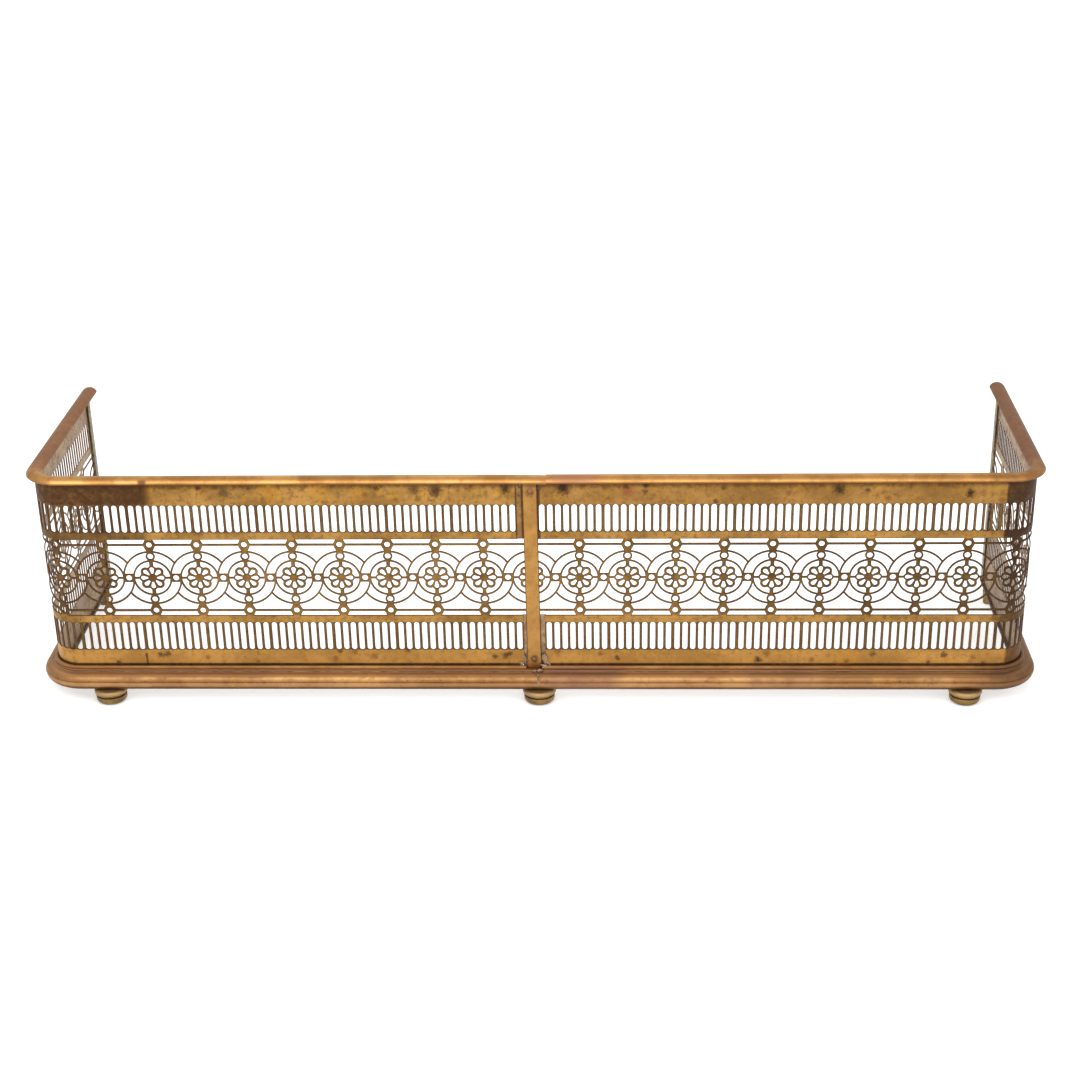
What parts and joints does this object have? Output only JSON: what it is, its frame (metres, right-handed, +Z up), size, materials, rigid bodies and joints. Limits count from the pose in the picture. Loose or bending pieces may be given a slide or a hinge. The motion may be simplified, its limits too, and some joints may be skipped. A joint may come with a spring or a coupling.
{
  "type": "fire fender",
  "caption": "Low U-shaped brass hearth fender: pierced gallery of linked rosettes between slotted bands, rounded top rail, heavy base moulding and turned feet.",
  "frame": {"origin": "on the floor, under the middle of the gallery's front face, on the pad of the centre foot", "axes": "+X to the right along the front, +Y back towards the fire, +Z up"},
  "size_m": [1.072, 0.2905, 0.2607],
  "materials": {
    "gallery_brass": "aged satin",
    "rail_brass": "worn polished",
    "moulding_brass": "aged satin",
    "old_brass": "aged satin",
    "tinned_brass": "dull, tinned with solder",
    "iron": "dark, lightly rusted"
  },
  "bodies": {
    "root": {"left_gallery": "gallery_brass", "right_gallery": "gallery_brass", "left_top_rail": "rail_brass", "right_top_rail": "rail_brass", "left_base_moulding": "moulding_brass", "right_base_moulding": "moulding_brass", "base_bar": "iron", "left_base_end_cap": "moulding_brass", "right_base_end_cap": "moulding_brass", "centre_strap": "gallery_brass", "upper_joint_plate": "tinned_brass", "lower_joint_plate": "tinned_brass", "strap_rivets": "old_brass", "left_end_stile": "old_brass", "right_end_stile": "old_brass", "stile_rivets": "old_brass", "front_left_foot": "old_brass", "front_centre_foot": "old_brass", "front_right_foot": "old_brass", "rear_left_foot": "old_brass", "rear_right_foot": "old_brass", "foot_studs": "iron"}
  },
  "joints": []
}
